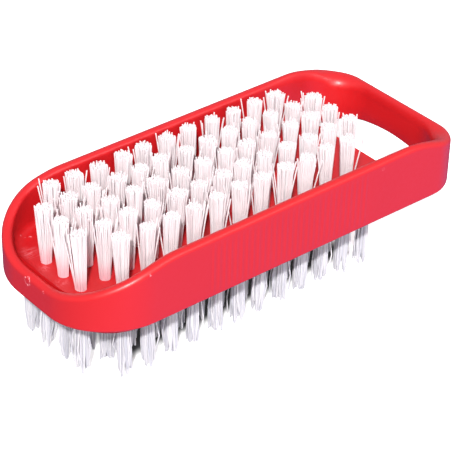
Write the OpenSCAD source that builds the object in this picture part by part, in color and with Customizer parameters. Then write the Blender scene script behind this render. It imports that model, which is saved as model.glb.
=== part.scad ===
// Double-sided nail brush. One moulded body carries a deck between two fields of
// tufts. A band runs round the deck as the grip and ends in a loop past one end.
// Each tuft is folded over a flat metal anchor at the foot of its own blind bore.
// Length runs along X with the loop at +X, and the lower tips stand on z = 0.

/* [Body] */
// Overall length of the body, from the nose to the outside of the loop
body_len = 96; // [88:0.2:104]
// Overall width of the body
body_w = 39.5; // [36:0.1:44]
// Thickness of the band all round
wall_t = 2.2; // [1.8:0.1:2.8]
// Thickness of the deck that holds the tufts
deck_t = 6.0; // [5.4:0.1:8]
// Depth of the full-width part of the deck, above the inset pad
plate_t = 2.4; // [1.8:0.1:3]
// Distance from the band's inner face to the inset pad under the deck
pad_inset = 1.0; // [0.6:0.1:1.6]
// Outer radius of the two corners at the nose
nose_r = 14.4; // [11:0.2:16]
// Outer radius of the two corners at the loop
loop_r = 7.5; // [5:0.1:11]

/* [Band] */
// Height of the rim above the deck along the sides
rim_h = 10.4; // [8:0.1:12]
// Height of the rim above the deck at the middle of the nose
nose_h = 2.3; // [2:0.1:5]
// Height of the rim above the deck at the loop
loop_h = 7.1; // [6:0.1:9]
// Depth of the band below the top of the deck along the sides
skirt_h = 3.2; // [2.8:0.1:4]
// Depth of the band below the top of the deck at the middle of the loop
loop_skirt_h = 0.3; // [0:0.1:2]
// Distance from the middle of the nose, along the outline, over which the rim is level
nose_flat = 2.5; // [0:0.5:5]
// Distance along the outline over which the rim climbs from the nose
nose_run = 32; // [24:0.5:36]
// Length over which the rim falls towards the loop
loop_run = 16; // [12:0.5:24]
// Distance along the outline over which the lower edge falls from the middle of the loop
arch_run = 26; // [20:0.5:32]
// Rounding of the rim on the outside
rim_out_r = 1.1; // [0.4:0.1:1.2]
// Largest rounding of the rim on the inside
rim_in_r = 1.0; // [0.4:0.1:1.2]
// Rounding of the lower edge of the band
skirt_r = 0.5; // [0.3:0.1:0.8]
// Largest radius of the cove where the deck meets the band
cove_r = 1.2; // [0.8:0.1:3]

/* [Loop opening] */
// Length of the opening between the deck and the inside of the loop
slot_len = 10.5; // [8:0.1:13]

/* [Grip ribs] */
// Number of ribs on each side of the band
rib_count = 29; // [5:1:36]
// Diameter of the round that forms each rib
rib_d = 0.9; // [0.6:0.1:1.2]
// Height of a rib above the side of the band
rib_h = 0.2; // [0.1:0.05:0.3]
// Distance from one rib to the next
rib_pitch = 1.4; // [1.2:0.1:1.6]
// Distance that the ribs stop short of the rounded edges of the band
rib_gap = 0.4; // [0.3:0.1:3]

/* [Tufts] */
// Number of tufts along the brush
tuft_cols = 13; // [7:1:14]
// Free length of an upper tuft, above the deck
tuft_h = 12.8; // [10:0.2:16]
// Free length of a lower tuft, below the deck
low_tuft_h = 14.2; // [11:0.2:17]
// Distance from the ends of the deck to the first and last tufts
end_margin = 7.45; // [6.4:0.05:10]
// Distance from the band's inner face to the outer rows
side_margin = 6.15; // [5.2:0.05:7.5]
// Diameter of each bore
bore_d = 2.2; // [1.8:0.1:2.8]
// Depth of each bore
bore_depth = 2.6; // [2.2:0.1:2.65]
// Gap between a tuft's root and its bore
root_gap = 0.05; // [0.03:0.01:0.1]
// Diameter of a tuft at its tip
tip_d = 3.4; // [2.8:0.1:4]
// Greatest amount by which a strand falls short of the full length
tip_scatter = 0.7; // [0:0.1:1]
// Depth by which the lower tips are cut flat
foot_cut = 0.5; // [0.3:0.1:0.6]

/* [Anchors] */
// Thickness of an anchor plate
anchor_t = 0.3; // [0.2:0.05:0.4]
// Height of an anchor plate
anchor_h = 1.3; // [1:0.1:1.6]
// Gap round an anchor plate
anchor_gap = 0.05; // [0.03:0.01:0.08]

/* [Hidden] */
$fn = 32;

// Heights
deck_bottom = low_tuft_h;
deck_top = deck_bottom + deck_t;

// Places along the brush
nose_x = -body_len / 2;
loop_x = body_len / 2;
deck_end_x = loop_x - wall_t - slot_len;
side_y = body_w / 2;
inner_y = side_y - wall_t;
rim_in = min(rim_in_r, wall_t - rim_out_r);

// Tuft grid, centred on the deck, with the four corner tufts left out
tuft_rows = 5;
first_col_x = nose_x + end_margin;
last_col_x = deck_end_x - end_margin;
col_pitch = (last_col_x - first_col_x) / (tuft_cols - 1);
row_pitch = 2 * (inner_y - side_margin) / (tuft_rows - 1);

// Band loft: steps over half of an end, round a corner, and on along the side
flat_steps = 4;
corner_steps = 12;
run_steps = 6;
cove_steps = 5;
overrun = 1;

// Strands of one tuft: four wedges round its axis, each with an inner, an outer and
// two side corners, as shares of the bore and of the tip
strands = 4;
root_share = 0.42;
root_slit_share = 0.03;
tip_slit_share = 0.07;
wedge_share = 0.74;
wander_share = 0.05;
// Depth of the strands' feet inside the root
fuse_depth = 0.6;

function smooth(t) = let (u = min(1, max(0, t))) u * u * (3 - 2 * u);
function mix(a, b, t) = a + (b - a) * t;

// Half outline of an end: place and outward normal at a distance along it, measured from
// the middle of the end, which faces -X at x = 0, to the side at +Y
function bend(r) = side_y - r + r * PI / 2;
function half_outline(d, r) = let (
        flat = side_y - r,
        turn = min(90, max(0, (d - flat) / r * 180 / PI)),
        beyond = max(0, d - bend(r))
    )
    [[r * (1 - cos(turn)) + beyond, min(d, flat) + r * sin(turn)], [-cos(turn), sin(turn)]];

// Distances at which the band's section is set out on each half of an end
function distances(r, reach) = concat(
    [for (i = [0:flat_steps - 1]) mix(0, side_y - r, i / flat_steps)],
    [for (i = [0:corner_steps]) mix(side_y - r, bend(r), i / corner_steps)],
    [for (i = [1:run_steps]) mix(bend(r), max(reach, bend(r) + overrun), i / run_steps)]
);
function reverse(list) = [for (i = [len(list) - 1:-1:0]) list[i]];

// Stations of the band: point, outward normal, lower edge and rim
function nose_station(d, side) = let (h = half_outline(d, nose_r))
    [[nose_x + h[0][0], side * h[0][1]], [h[1][0], side * h[1][1]],
        deck_top - skirt_h,
        deck_top + mix(nose_h, rim_h, smooth((d - nose_flat) / nose_run))];
function loop_station(d, side) = let (h = half_outline(d, loop_r))
    [[loop_x - h[0][0], side * h[0][1]], [-h[1][0], side * h[1][1]],
        deck_top - mix(loop_skirt_h, skirt_h, smooth(d / arch_run)),
        deck_top + mix(loop_h, rim_h, smooth(h[0][0] / loop_run))];

nose_distances = distances(nose_r, nose_flat + nose_run);
loop_distances = distances(loop_r, max(arch_run, bend(loop_r) + loop_run - loop_r));

// Whole outline, counter-clockwise from the middle of the loop
stations = concat(
    [for (d = loop_distances) loop_station(d, 1)],
    [for (d = reverse(nose_distances)) nose_station(d, 1)],
    [for (d = nose_distances) if (d > 0) nose_station(d, -1)],
    [for (d = reverse(loop_distances)) if (d > 0) loop_station(d, -1)]
);

// Quarter round of a section, in distance inward from the outer face and in height
function quarter(centre, radius, from, steps) =
    [for (i = [0:steps]) let (a = from - 90 * i / steps) centre + radius * [cos(a), sin(a)]];

// Section of the band between two heights, clockwise from the foot of the outer face
function band_section(low, high) = concat(
    quarter([skirt_r, low + skirt_r], skirt_r, 270, 2),
    quarter([rim_out_r, high - rim_out_r], rim_out_r, 180, 4),
    quarter([wall_t - rim_in, high - rim_in], rim_in, 90, 4),
    quarter([wall_t - skirt_r, low + skirt_r], skirt_r, 0, 2)
);

// Section of the cove, from the corner that it fills and sunk into both its faces. Its
// radius is limited by the inner face of the band at the nose, where that is lowest
cove = min(cove_r, nose_h - rim_in);
cove_sink = skirt_r;
cove_section = concat(
    [[wall_t - cove_sink, deck_top - cove_sink], [wall_t - cove_sink, deck_top + cove]],
    [for (i = [0:cove_steps]) let (a = 180 + 90 * i / cove_steps)
        [wall_t + cove, deck_top + cove] + cove * [cos(a), sin(a)]],
    [[wall_t + cove, deck_top - cove_sink]]
);
cove_stations = concat(
    [[[deck_end_x, side_y], [0, 1]]],
    [for (s = stations) if (s[0][0] < deck_end_x - overrun) s],
    [[[deck_end_x, -side_y], [0, -1]]]
);

// Section point set out at a station
function placed(station, q) = let (p = station[0] - station[1] * q[0]) [p[0], p[1], q[1]];

function ring_faces(rings, sides, closed) = [
    for (i = [0:rings - (closed ? 1 : 2)], j = [0:sides - 1])
        let (a = i * sides, b = ((i + 1) % rings) * sides, k = (j + 1) % sides)
        each [[a + j, b + k, b + j], [a + j, a + k, b + k]]
];
function cap_faces(base, sides, flip) = [
    for (j = [1:sides - 2]) flip ? [base, base + j + 1, base + j] : [base, base + j, base + j + 1]
];

// Closed loft of the band round the whole outline
module band() {
    sections = [for (s = stations) band_section(s[2], s[3])];
    sides = len(sections[0]);
    points = [for (i = [0:len(stations) - 1], q = sections[i]) placed(stations[i], q)];
    polyhedron(points, ring_faces(len(stations), sides, true), convexity = 6);
}

// Open loft of the cove, from one end of the deck round the nose to the other
module cove() {
    sides = len(cove_section);
    rings = len(cove_stations);
    points = [for (s = cove_stations, q = cove_section) placed(s, q)];
    polyhedron(points, concat(
        ring_faces(rings, sides, false),
        cap_faces(0, sides, true),
        cap_faces((rings - 1) * sides, sides, false)
    ), convexity = 6);
}

// Outline of the deck, kept a given distance inside the outer face of the body
module deck_outline(inset) {
    r = nose_r - inset;
    centre = [nose_x + nose_r, side_y - nose_r];
    for (side = [-1, 1]) translate([centre[0], side * centre[1]]) circle(r = r, $fn = 96);
    translate([nose_x + inset, -centre[1]]) square([nose_r, 2 * centre[1]]);
    translate([centre[0], -side_y + inset])
        square([deck_end_x - centre[0], body_w - 2 * inset]);
}

function row_y(row) = ((tuft_rows + 1) / 2 - row) * row_pitch;
function col_x(col) = first_col_x + col * col_pitch;
function is_edge_row(row) = row == 1 || row == tuft_rows;
// Columns of the upper field, which leaves its four corners empty
function top_cols(row) = is_edge_row(row) ? [1:tuft_cols - 2] : [0:tuft_cols - 1];
// Columns of the lower field, which leaves two corners empty, across from each other
function bottom_cols(row) =
    [(row == tuft_rows ? 1 : 0):(row == 1 ? tuft_cols - 2 : tuft_cols - 1)];

// Blind bores of both fields
module bores() {
    for (row = [1:tuft_rows]) {
        for (col = top_cols(row)) translate([col_x(col), row_y(row), deck_top - bore_depth])
            cylinder(d = bore_d, h = bore_depth + overrun);
        for (col = bottom_cols(row)) translate([col_x(col), row_y(row), deck_bottom - overrun])
            cylinder(d = bore_d, h = bore_depth + overrun);
    }
}

// Round ribs let into both sides of the band
module ribs() {
    low = deck_top - skirt_h + skirt_r + rib_gap;
    high = deck_top + rim_h - rim_out_r - rib_gap;
    for (side = [-1, 1], i = [0:rib_count - 1])
        translate([rib_pitch * (i - (rib_count - 1) / 2),
            side * (side_y + rib_h - rib_d / 2), low])
            cylinder(d = rib_d, h = high - low, $fn = 16);
}

module body() {
    color("#ea3340") difference() {
        union() {
            band();
            cove();
            translate([0, 0, deck_top - plate_t])
                linear_extrude(plate_t) deck_outline(wall_t / 2);
            translate([0, 0, deck_bottom])
                linear_extrude(deck_t) deck_outline(wall_t + pad_inset);
            ribs();
        }
        bores();
    }
}

// Corners of one wedge, clockwise from the inner one, turned about the tuft's axis
function wedge(radius, slit, turn) = [
    for (p = [[slit, slit], [slit, radius], radius * wedge_share * [1, 1], [radius, slit]])
        [p[0] * cos(turn) - p[1] * sin(turn), p[0] * sin(turn) + p[1] * cos(turn)]
];

// One strand, tapered from its wedge in the root to its wedge at the tip
module strand(root, tip, lean, heights) {
    sides = len(root);
    polyhedron(
        concat(
            [for (p = root) [p[0], p[1], -fuse_depth]],
            [for (k = [0:sides - 1]) [tip[k][0] + lean[0], tip[k][1] + lean[1], heights[k]]]
        ),
        concat(
            ring_faces(2, sides, false),
            cap_faces(0, sides, true),
            cap_faces(sides, sides, false)
        )
    );
}

// One tuft standing on z = 0, with its root below in the bore, folded over its anchor
module tuft(seed, lowered) {
    noise = rands(-1, 1, 8 * strands, seed);
    free_h = lowered ? low_tuft_h : tuft_h;
    root_d = bore_d - 2 * root_gap;
    difference() {
        union() {
            translate([0, 0, root_gap - bore_depth]) cylinder(d = root_d, h = bore_depth - root_gap);
            for (i = [0:strands - 1]) {
                turn = 360 * i / strands + 90 * noise[0];
                falls = [for (k = [0:3]) tip_scatter * (1 + noise[8 * i + k + 1]) / 2];
                strand(
                    wedge(bore_d * root_share, bore_d * root_slit_share, turn),
                    wedge(tip_d / 2, tip_d * tip_slit_share, turn),
                    tip_d * wander_share * [noise[8 * i + 5], noise[8 * i + 6]],
                    [for (f = falls) min(free_h, free_h + (lowered ? foot_cut : 0) - f)]
                );
            }
        }
        translate([-bore_d, -anchor_t / 2 - anchor_gap, -bore_depth - overrun])
            cube([2 * bore_d, anchor_t + 2 * anchor_gap, anchor_h + anchor_gap + overrun]);
    }
}

module top_tufts(row) {
    color("#f7f4f4") for (col = top_cols(row))
        translate([col_x(col), row_y(row), deck_top]) tuft(100 * row + col, false);
}

module bottom_tufts(row) {
    color("#f1f3f5") for (col = bottom_cols(row))
        translate([col_x(col), row_y(row), deck_bottom]) mirror([0, 0, 1])
            tuft(1000 + 100 * row + col, true);
}

// Flat metal plate that stands on the floor of its bore
module anchor() {
    anchor_w = bore_d - 2 * anchor_gap;
    intersection() {
        translate([-anchor_w / 2, -anchor_t / 2, 0]) cube([anchor_w, anchor_t, anchor_h]);
        cylinder(d = anchor_w, h = anchor_h);
    }
}

module top_anchors(row) {
    color("#c9ccd0") for (col = top_cols(row))
        translate([col_x(col), row_y(row), deck_top - bore_depth]) anchor();
}

module bottom_anchors(row) {
    color("#c9ccd0") for (col = bottom_cols(row))
        translate([col_x(col), row_y(row), deck_bottom + bore_depth]) mirror([0, 0, 1]) anchor();
}

body();
top_tufts(1);  // top_tufts_row_1
top_tufts(2);  // top_tufts_row_2
top_tufts(3);  // top_tufts_row_3
top_tufts(4);  // top_tufts_row_4
top_tufts(5);  // top_tufts_row_5
bottom_tufts(1);  // bottom_tufts_row_1
bottom_tufts(2);  // bottom_tufts_row_2
bottom_tufts(3);  // bottom_tufts_row_3
bottom_tufts(4);  // bottom_tufts_row_4
bottom_tufts(5);  // bottom_tufts_row_5
top_anchors(1);  // top_anchors_row_1
top_anchors(2);  // top_anchors_row_2
top_anchors(3);  // top_anchors_row_3
top_anchors(4);  // top_anchors_row_4
top_anchors(5);  // top_anchors_row_5
bottom_anchors(1);  // bottom_anchors_row_1
bottom_anchors(2);  // bottom_anchors_row_2
bottom_anchors(3);  // bottom_anchors_row_3
bottom_anchors(4);  // bottom_anchors_row_4
bottom_anchors(5);  // bottom_anchors_row_5
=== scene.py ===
"""Double-sided nail brush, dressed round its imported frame.

One red moulding carries two fields of tufts. Its band has a ribbed grip and ends in a loop.
All sizes are in millimetres until a mesh is made, and then in metres.
"""

import logging
import math
import random
from dataclasses import dataclass, field
from enum import Enum
from typing import Any, Iterable

import bmesh
import bpy
import numpy as np
from mathutils import Matrix, Vector


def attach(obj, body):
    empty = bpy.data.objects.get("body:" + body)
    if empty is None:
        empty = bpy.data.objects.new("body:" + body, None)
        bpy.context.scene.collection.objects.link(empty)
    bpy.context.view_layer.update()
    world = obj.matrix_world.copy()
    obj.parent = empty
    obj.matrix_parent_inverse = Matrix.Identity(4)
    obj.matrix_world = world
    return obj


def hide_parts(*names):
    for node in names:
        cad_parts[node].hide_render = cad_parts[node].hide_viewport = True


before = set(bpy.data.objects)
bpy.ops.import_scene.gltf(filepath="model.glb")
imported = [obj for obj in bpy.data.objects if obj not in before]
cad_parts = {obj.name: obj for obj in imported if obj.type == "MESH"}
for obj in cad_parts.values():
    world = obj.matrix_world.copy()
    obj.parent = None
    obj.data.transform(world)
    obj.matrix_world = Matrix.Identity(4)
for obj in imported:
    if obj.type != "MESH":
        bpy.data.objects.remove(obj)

MM = 0.001
ROOT = "root"
WHITE = "#ffffff"
LOG = logging.getLogger("nail_brush")

# Places and directions that differ by less than this are the same.
CLOSE = 1e-6

# Turn from one filament to the next that fills a round bundle evenly, in radians.
GOLDEN_TURN = math.pi * (3 - math.sqrt(5))

Pair = tuple[float, float]
Point = tuple[float, float, float]


class Side(Enum):
    """Face of the deck that a field of tufts stands on."""

    TOP = "top"
    BOTTOM = "bottom"


class Wear(Enum):
    """Kinds of mark that handling has left on the moulding."""

    NICK = "nick"
    SCRATCHES = "scratches"
    CHALK = "chalk"


def linear(hex_colour: str) -> tuple[float, float, float, float]:
    """Turn an sRGB hex colour into linear light.

    Args:
        hex_colour: Six hex digits with a leading mark, such as "#ff8800".

    Returns:
        Linear red, green, blue and an alpha of one.
    """
    parts = [int(hex_colour[i:i + 2], 16) / 255 for i in (1, 3, 5)]
    light = [p / 12.92 if p <= 0.04045 else ((p + 0.055) / 1.055) ** 2.4 for p in parts]
    return (light[0], light[1], light[2], 1.0)


def smooth(t: float) -> float:
    """Return the smooth step of t from 0 to 1."""
    u = min(1.0, max(0.0, t))
    return u * u * (3 - 2 * u)


def mix(a: float, b: float, t: float) -> float:
    """Return the value at share t of the way from a to b."""
    return a + (b - a) * t


def spaced(start: float, stop: float, count: int) -> list[float]:
    """Return evenly spaced values after start, as many as count, of which the last is stop."""
    return [mix(start, stop, i / count) for i in range(1, count + 1)]


def add_node(tree: bpy.types.NodeTree, kind: str, settings: dict[str, Any] | None = None,
             inputs: dict[Any, Any] | None = None) -> bpy.types.Node:
    """Add a shader node, set it up and link it.

    Args:
        tree: Node tree to add to.
        kind: Blender's type name of the node.
        settings: Properties of the node.
        inputs: Socket name or index to a value, or to an output socket to link.

    Returns:
        The new node.
    """
    node = tree.nodes.new(kind)
    for name, value in (settings or {}).items():
        setattr(node, name, value)
    for key, value in (inputs or {}).items():
        if isinstance(value, bpy.types.NodeSocket):
            tree.links.new(value, node.inputs[key])
        else:
            node.inputs[key].default_value = value
    return node


def new_material(name: str) -> tuple[bpy.types.Material, bpy.types.NodeTree]:
    """Start a material.

    Args:
        name: Name of the material.

    Returns:
        The material and its empty node tree.
    """
    material = bpy.data.materials.new(name)
    material.use_nodes = True
    material.node_tree.nodes.clear()
    return material, material.node_tree


def make_object(name: str, points: list[Point], faces: list[tuple[int, ...]],
                material: bpy.types.Material, sharp_deg: float = 180.0) -> bpy.types.Object:
    """Make a mesh object from points in millimetres.

    Args:
        name: Name of the object.
        points: Points in millimetres.
        faces: Corner indices of each face.
        material: Material of the whole mesh.
        sharp_deg: Edges that turn more than this are drawn sharp.

    Returns:
        The object, linked to the scene.
    """
    mesh = bpy.data.meshes.new(name)
    mesh.from_pydata((np.asarray(points, dtype=float) * MM).tolist(), [], faces)
    mesh.validate()
    mesh.polygons.foreach_set("use_smooth", [True] * len(mesh.polygons))
    if sharp_deg < 180.0:
        mesh.set_sharp_from_angle(angle=math.radians(sharp_deg))
    mesh.materials.append(material)
    made = bpy.data.objects.new(name, mesh)
    bpy.context.scene.collection.objects.link(made)
    return made


@dataclass(frozen=True)
class WearMark:
    """One mark on the moulding.

    Attributes:
        kind: What left it.
        centre: Middle of the mark, in millimetres, with its height from the top of the deck.
        radius: Reach of the mark, in millimetres.
        strength: Share of the pale colour at its middle.
    """

    kind: Wear
    centre: Point
    radius: float
    strength: float


@dataclass(frozen=True)
class MouldedPolypropylene:
    """Red polypropylene, injection moulded in a fine spark-eroded tool.

    The colour is deep and even. The tool's texture spreads the gloss into a satin sheen, and
    knocks turn the plastic pale and pinkish. The grains of such a texture are about 0.05 mm wide,
    too fine to show, so they are drawn as coarse as they need to be to show.

    Attributes:
        deck_top: Height of the deck's upper face, in millimetres.
        colour: Colour of the plastic.
        flow_colour: Colour of the broad, faint clouds that the flow of the melt leaves.
        worn_colour: Colour where a knock has turned the plastic pale.
        ior: Refractive index.
        roughness: Middle of the roughness.
        rough_swing: How far the roughness strays from its middle.
        texture_mm: Width of the texture's grains.
        texture_height_mm: Height of the texture's grains.
        texture_strength: Share of that height that the light shows.
        patch_mm: Width of the patches in which the roughness strays.
        patch_levels: Levels of the pattern at which a patch is smoothest and roughest.
        flow_mm: Width of the clouds.
        scratch_mm: Width of the gaps in a mark.
        scratch_deg: Turn of the scratches, from +X.
        scratch_stretch: How much finer the gaps are along each axis of the scratches.
        nick_rim: Width of a nick's pale rim, as a share of its radius.
        core: Strength at the middle of a mark, before it is cut off at its full strength.
        gap_levels: Levels of the pattern at which a mark starts and is full.
        marks: The marks on the brush.
    """

    deck_top: float
    colour: str = "#bd171c"
    flow_colour: str = "#b7151a"
    worn_colour: str = "#f7a9b3"
    ior: float = 1.49
    roughness: float = 0.40
    rough_swing: float = 0.05
    texture_mm: float = 0.35
    texture_height_mm: float = 0.02
    texture_strength: float = 0.25
    patch_mm: float = 1.05
    patch_levels: Pair = (0.3, 0.7)
    flow_mm: float = 14.0
    scratch_mm: float = 0.5
    scratch_deg: float = 38.0
    scratch_stretch: Point = (0.22, 1.6, 1.0)
    nick_rim: float = 0.32
    core: float = 1.6
    gap_levels: Pair = (0.46, 0.62)
    marks: tuple[WearMark, ...] = (
        WearMark(Wear.NICK, (-47.99, 1.35, 1.05), 0.85, 0.75),
        WearMark(Wear.CHALK, (-47.96, -4, 1.45), 0.38, 0.7),
        WearMark(Wear.CHALK, (-34.71, -19.74, 8.44), 0.36, 0.6),
        WearMark(Wear.CHALK, (24.2, -19.87, 8.7), 0.5, 0.22),
        WearMark(Wear.CHALK, (-40.1, 15.35, 0.5), 0.35, 0.6),
        WearMark(Wear.CHALK, (-38.3, 14.5, 0), 0.4, 0.6),
        WearMark(Wear.CHALK, (-37.9, 12.4, 0), 0.35, 0.5),
        WearMark(Wear.CHALK, (-39.35, 14.8, 0), 0.3, 0.5),
        WearMark(Wear.SCRATCHES, (-41.4, 9.9, 0), 2.6, 0.2),
        WearMark(Wear.CHALK, (-42.1, 4, 0), 1.6, 0.14),
        WearMark(Wear.CHALK, (-42.5, -1.9, 0), 1.8, 0.14),
    )

    def mark_mask(self, tree: bpy.types.NodeTree, place: bpy.types.NodeSocket,
                  mark: WearMark) -> bpy.types.NodeSocket:
        """Draw one mark as a mask.

        Args:
            tree: Material's node tree.
            place: Object coordinates, in metres.
            mark: The mark.

        Returns:
            A socket from 0 off the mark to its strength on it.
        """
        x, y, rise = mark.centre
        centre = (x * MM, y * MM, (self.deck_top + rise) * MM)
        away = add_node(tree, "ShaderNodeVectorMath", {"operation": "DISTANCE"},
                        {0: place, 1: centre}).outputs["Value"]
        reach = mark.radius * MM
        if mark.kind is Wear.NICK:
            past = add_node(tree, "ShaderNodeMath", {"operation": "SUBTRACT"}, {0: away, 1: reach})
            away = add_node(tree, "ShaderNodeMath", {"operation": "ABSOLUTE"},
                            {0: past.outputs[0]}).outputs[0]
            reach *= self.nick_rim
        body = add_node(tree, "ShaderNodeMapRange", inputs={
            "Value": away, "From Min": 0.0, "From Max": reach, "To Min": self.core, "To Max": 0.0})
        where, detail, rough = place, 3.0, 0.6
        if mark.kind is Wear.SCRATCHES:
            turn = (0.0, 0.0, math.radians(self.scratch_deg))
            stretched = add_node(tree, "ShaderNodeMapping", {"vector_type": "POINT"}, {
                "Vector": place, "Rotation": turn, "Scale": self.scratch_stretch})
            where, detail, rough = stretched.outputs[0], 2.0, 0.7
        pattern = add_node(tree, "ShaderNodeTexNoise", inputs={
            "Vector": where, "Scale": 1 / (self.scratch_mm * MM), "Detail": detail,
            "Roughness": rough})
        start, full = self.gap_levels
        broken = add_node(tree, "ShaderNodeMapRange", inputs={
            "Value": pattern.outputs["Fac"], "From Min": start, "From Max": full, "To Min": 0.0,
            "To Max": mark.strength})
        masked = add_node(tree, "ShaderNodeMath", {"operation": "MULTIPLY", "use_clamp": True},
                          {0: body.outputs[0], 1: broken.outputs[0]})
        return masked.outputs[0]

    def build(self) -> bpy.types.Material:
        """Build the material.

        Returns:
            The material.
        """
        material, tree = new_material("polypropylene_red_moulded")
        place = add_node(tree, "ShaderNodeTexCoord").outputs["Object"]
        flow = add_node(tree, "ShaderNodeTexNoise", inputs={
            "Vector": place, "Scale": 1 / (self.flow_mm * MM), "Detail": 2.0, "Roughness": 0.5})
        tone = add_node(tree, "ShaderNodeMix", {"data_type": "RGBA"}, {
            "Factor": flow.outputs["Fac"], "A": linear(self.colour),
            "B": linear(self.flow_colour)})
        masks = [self.mark_mask(tree, place, mark) for mark in self.marks]
        worn = masks[0]
        for mask in masks[1:]:
            either = add_node(tree, "ShaderNodeMath", {"operation": "MAXIMUM"}, {0: worn, 1: mask})
            worn = either.outputs[0]
        marked = add_node(tree, "ShaderNodeMix", {"data_type": "RGBA"}, {
            "Factor": worn, "A": tone.outputs["Result"], "B": linear(self.worn_colour)})
        grain = add_node(tree, "ShaderNodeTexNoise", inputs={
            "Vector": place, "Scale": 1 / (self.texture_mm * MM), "Detail": 2.0, "Roughness": 0.6})
        patches = add_node(tree, "ShaderNodeTexNoise", inputs={
            "Vector": place, "Scale": 1 / (self.patch_mm * MM), "Detail": 3.0, "Roughness": 0.6})
        smoothest, roughest = self.patch_levels
        rough = add_node(tree, "ShaderNodeMapRange", inputs={
            "Value": patches.outputs["Fac"], "From Min": smoothest, "From Max": roughest,
            "To Min": self.roughness - self.rough_swing,
            "To Max": self.roughness + self.rough_swing})
        bump = add_node(tree, "ShaderNodeBump", inputs={
            "Strength": self.texture_strength, "Distance": self.texture_height_mm * MM,
            "Height": grain.outputs["Fac"]})
        shader = add_node(tree, "ShaderNodeBsdfPrincipled", inputs={
            "Base Color": marked.outputs["Result"], "Roughness": rough.outputs[0], "IOR": self.ior,
            "Normal": bump.outputs[0]})
        add_node(tree, "ShaderNodeOutputMaterial", inputs={"Surface": shader.outputs[0]})
        return material


@dataclass(frozen=True)
class NylonFilament:
    """Natural nylon, extruded and cut to length.

    The filament is milky. Near its foot it is painted pink, painted light that stands for red
    light thrown on it by the moulding. Each one differs a little from the next, which draws the
    fine streaks in a tuft.

    Attributes:
        name: Name of the material.
        foot_z: Height of the end with the painted red light, in millimetres.
        painted_bounce_mm: Distance from there over which the painted red light fades, negative
            downwards.
        painted_bounce_colour: Colour of the painted red light at its deepest.
        dull_colour: Darkest colour of a single filament.
        colour: Lightest colour of a single filament.
        ior: Refractive index.
        roughness: Roughness of the drawn skin.
        scatter: Share of the light that is scattered within.
        scatter_mm: Distance that this light goes.
        glow_through: Share of the light that comes out at the other side.
    """

    name: str
    foot_z: float
    painted_bounce_mm: float
    painted_bounce_colour: str
    dull_colour: str
    colour: str = "#fffcfd"
    ior: float = 1.53
    roughness: float = 0.36
    scatter: float = 0.3
    scatter_mm: float = 0.6
    glow_through: float = 0.35

    def build(self) -> bpy.types.Material:
        """Build the material.

        Returns:
            The material.
        """
        material, tree = new_material(self.name)
        place = add_node(tree, "ShaderNodeTexCoord").outputs["Object"]
        height = add_node(tree, "ShaderNodeSeparateXYZ", inputs={0: place}).outputs["Z"]
        # Painted light: near the foot a pink colour stands for red light thrown back by the
        # moulding.
        rise = add_node(tree, "ShaderNodeMapRange", {"interpolation_type": "SMOOTHSTEP"}, {
            "Value": height, "From Min": self.foot_z * MM,
            "From Max": (self.foot_z + self.painted_bounce_mm) * MM})
        each = add_node(tree, "ShaderNodeNewGeometry").outputs["Random Per Island"]
        streak = add_node(tree, "ShaderNodeMix", {"data_type": "RGBA"}, {
            "Factor": each, "A": linear(self.dull_colour), "B": linear(self.colour)})
        painted_bounce_mix = add_node(tree, "ShaderNodeMix", {"data_type": "RGBA"}, {
            "Factor": rise.outputs[0], "A": linear(self.painted_bounce_colour), "B": linear(WHITE)})
        colour = add_node(tree, "ShaderNodeMix", {"data_type": "RGBA", "blend_type": "MULTIPLY"}, {
            "Factor": 1.0, "A": streak.outputs["Result"], "B": painted_bounce_mix.outputs["Result"]})
        shader = add_node(tree, "ShaderNodeBsdfPrincipled", inputs={
            "Base Color": colour.outputs["Result"], "Roughness": self.roughness, "IOR": self.ior,
            "Subsurface Weight": self.scatter, "Subsurface Radius": (1.0, 1.0, 1.0),
            "Subsurface Scale": self.scatter_mm * MM})
        through = add_node(tree, "ShaderNodeBsdfTranslucent",
                           inputs={"Color": colour.outputs["Result"]})
        milky = add_node(tree, "ShaderNodeMixShader",
                         inputs={0: self.glow_through, 1: shader.outputs[0], 2: through.outputs[0]})
        add_node(tree, "ShaderNodeOutputMaterial", inputs={"Surface": milky.outputs[0]})
        return material


@dataclass(frozen=True)
class GalvanisedWire:
    """Steel wire, galvanised, drawn flat and cropped into anchors.

    It is a dull grey metal with lines along it. The real lines are about 0.02 mm wide, too fine
    to show, so they are drawn as coarse as they need to be to show.

    Attributes:
        colour: Colour of the zinc.
        roughness: Its roughness.
        line_mm: Width of the lines.
        line_height_mm: Height of the lines.
        line_strength: Share of that height that the light shows.
        line_stretch: How much finer the pattern is along each axis.
    """

    colour: str = "#c2c4c6"
    roughness: float = 0.45
    line_mm: float = 0.15
    line_height_mm: float = 0.01
    line_strength: float = 0.3
    line_stretch: Point = (0.1, 1.0, 1.0)

    def build(self) -> bpy.types.Material:
        """Build the material.

        Returns:
            The material.
        """
        material, tree = new_material("steel_galvanised_drawn")
        place = add_node(tree, "ShaderNodeTexCoord").outputs["Object"]
        along = add_node(tree, "ShaderNodeMapping",
                         inputs={"Vector": place, "Scale": self.line_stretch})
        lines = add_node(tree, "ShaderNodeTexNoise", inputs={
            "Vector": along.outputs[0], "Scale": 1 / (self.line_mm * MM), "Detail": 2.0})
        bump = add_node(tree, "ShaderNodeBump", inputs={
            "Strength": self.line_strength, "Distance": self.line_height_mm * MM,
            "Height": lines.outputs["Fac"]})
        shader = add_node(tree, "ShaderNodeBsdfPrincipled", inputs={
            "Base Color": linear(self.colour), "Metallic": 1.0, "Roughness": self.roughness,
            "Normal": bump.outputs[0]})
        add_node(tree, "ShaderNodeOutputMaterial", inputs={"Surface": shader.outputs[0]})
        return material


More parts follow.
